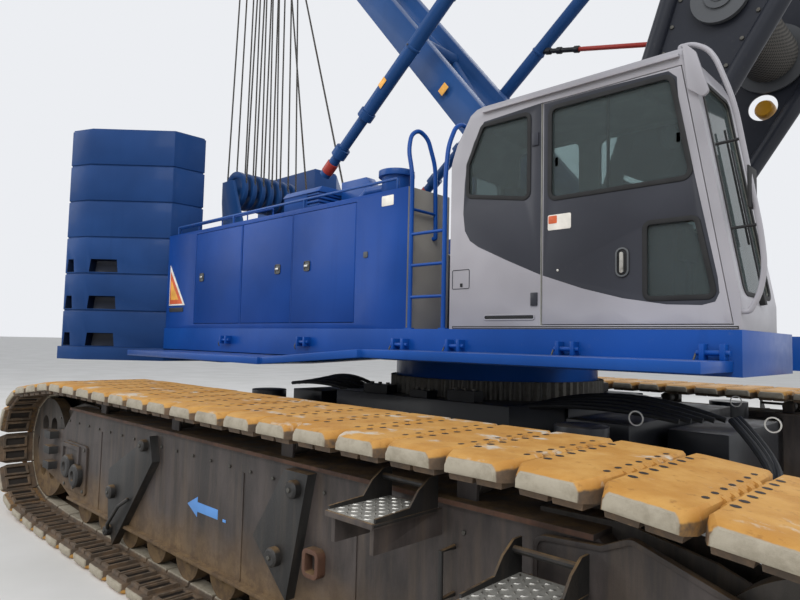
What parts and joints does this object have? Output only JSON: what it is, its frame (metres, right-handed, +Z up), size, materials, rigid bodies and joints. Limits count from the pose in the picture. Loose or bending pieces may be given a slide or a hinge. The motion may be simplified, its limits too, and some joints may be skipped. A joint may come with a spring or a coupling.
{
  "type": "crawler crane",
  "caption": "Crawler crane on two wide tracks, with slab counterweights, a side cab, machinery houses, winches, a mast and a lattice boom that luffs.",
  "frame": {"origin": "on the ground, under the swing axis, midway between the tracks", "axes": "+X forwards along the tracks and the boom, +Y to the left, +Z up"},
  "size_m": [15.2186, 7.74, 16.3336],
  "materials": {
    "carbody_paint": "worn gloss black paint",
    "frame_paint": "muddy dark paint over steel plate",
    "track_steel": "ochre mud and worn cast steel",
    "wheel_steel": "greasy dark cast steel",
    "deck_paint": "gloss blue enamel",
    "house_paint": "gloss blue enamel",
    "engine_paint": "grey engine paint",
    "winch_steel": "dark grey paint",
    "gantry_paint": "satin blue enamel",
    "weight_paint": "satin blue paint over cast iron",
    "cab_paint": "light grey enamel",
    "cab_band": "dark grey enamel",
    "cab_glass": "lightly tinted safety glass",
    "cab_trim": "black vinyl and moulded plastic",
    "boom_paint": "near-black satin enamel",
    "hook_paint": "yellow enamel",
    "rope_steel": "greased wire rope"
  },
  "bodies": {
    "lower": {"carbody": "carbody_paint", "cross_beam_front": "carbody_paint", "cross_beam_rear": "carbody_paint", "swing_ring": "wheel_steel", "side_frame_right": "frame_paint", "side_frame_left": "frame_paint", "track_right": "track_steel", "track_left": "track_steel", "drive_wheel_right": "wheel_steel", "drive_wheel_left": "wheel_steel", "idler_right": "wheel_steel", "idler_left": "wheel_steel", "rollers_right": "wheel_steel", "rollers_left": "wheel_steel"},
    "upper": {"revolving_frame": "deck_paint", "winch_stands": "winch_steel", "gantry": "gantry_paint", "house_right": "house_paint", "house_left": "house_paint", "engine": "engine_paint", "roof_fittings": "house_paint", "counterweight_tray": "weight_paint", "counterweight_right": "weight_paint", "counterweight_left": "weight_paint", "catwalk_right": "deck_paint", "catwalk_left": "deck_paint", "ladders": "deck_paint", "cab_shell": "cab_paint", "cab_glass": "cab_glass", "cab_seat": "cab_trim", "cab_fittings": "cab_paint"},
    "cab_door": {"cab_door": "cab_band", "cab_door_glass": "cab_glass"},
    "mast": {"mast": "gantry_paint", "mast_head": "winch_steel"},
    "boom": {"boom_base": "boom_paint", "boom_tip": "boom_paint", "boom_head": "winch_steel", "backstops": "gantry_paint", "pendants": "boom_paint"},
    "hook": {"hook_block": "hook_paint", "hook_falls": "rope_steel"},
    "door_rear_right": {"door_rear_right": "house_paint"},
    "door_middle_right": {"door_middle_right": "house_paint"},
    "door_front_right": {"door_front_right": "house_paint"},
    "door_rear_left": {"door_rear_left": "house_paint"},
    "door_front_left": {"door_front_left": "house_paint"},
    "drum_front": {"drum_front": "winch_steel"},
    "drum_middle": {"drum_middle": "winch_steel"},
    "drum_rear": {"drum_rear": "winch_steel"},
    "boom_drum": {"boom_drum": "winch_steel"}
  },
  "joints": [
    {"name": "swing", "type": "hinge", "parent": "lower", "child": "upper", "pos_m": [0, 0, 1.65], "axis": [0, 0, 1], "continuous": true},
    {"name": "boom_luff", "type": "hinge", "parent": "upper", "child": "boom", "pos_m": [1.532, 0, 2.588], "axis": [0, -1, 0], "range_deg": [-31, 19]},
    {"name": "mast_lean", "type": "hinge", "parent": "upper", "child": "mast", "pos_m": [1.532, 0, 2.588], "axis": [0, -1, 0], "range_deg": [-31, 19]},
    {"name": "hook_hang", "type": "hinge", "parent": "boom", "child": "hook", "pos_m": [8.44865, 0, 15.94519], "axis": [0, -1, 0], "range_deg": [-22, 34]},
    {"name": "cab_door_swing", "type": "hinge", "parent": "upper", "child": "cab_door", "pos_m": [1.577, -1.599, 3], "axis": [0, 0, -1], "range_deg": [0, 90]},
    {"name": "door_rear_right_swing", "type": "hinge", "parent": "upper", "child": "door_rear_right", "pos_m": [-2.696, -1.586, 2.8], "axis": [0, 0, 1], "range_deg": [0, 90]},
    {"name": "door_middle_right_swing", "type": "hinge", "parent": "upper", "child": "door_middle_right", "pos_m": [-2.644, -1.586, 2.8], "axis": [0, 0, -1], "range_deg": [0, 90]},
    {"name": "door_front_right_swing", "type": "hinge", "parent": "upper", "child": "door_front_right", "pos_m": [-0.601, -1.586, 2.8], "axis": [0, 0, 1], "range_deg": [0, 90]},
    {"name": "door_rear_left_swing", "type": "hinge", "parent": "upper", "child": "door_rear_left", "pos_m": [-3.474, 1.586, 2.8], "axis": [0, 0, 1], "range_deg": [0, 90]},
    {"name": "door_front_left_swing", "type": "hinge", "parent": "upper", "child": "door_front_left", "pos_m": [-0.526, 1.586, 2.8], "axis": [0, 0, -1], "range_deg": [0, 90]},
    {"name": "drum_front_spin", "type": "hinge", "parent": "upper", "child": "drum_front", "pos_m": [-0.5, 0, 2.6], "axis": [0, 1, 0], "continuous": true},
    {"name": "drum_middle_spin", "type": "hinge", "parent": "upper", "child": "drum_middle", "pos_m": [-1.65, 0, 2.6], "axis": [0, 1, 0], "continuous": true},
    {"name": "drum_rear_spin", "type": "hinge", "parent": "upper", "child": "drum_rear", "pos_m": [-2.8, 0, 2.6], "axis": [0, 1, 0], "continuous": true},
    {"name": "boom_drum_spin", "type": "hinge", "parent": "boom", "child": "boom_drum", "pos_m": [2.59395, 0, 4.71794], "axis": [0, 1, 0], "continuous": true}
  ],
  "couplings": [
    {"joint": "mast_lean", "follows": "boom_luff", "ratio": 1}
  ]
}
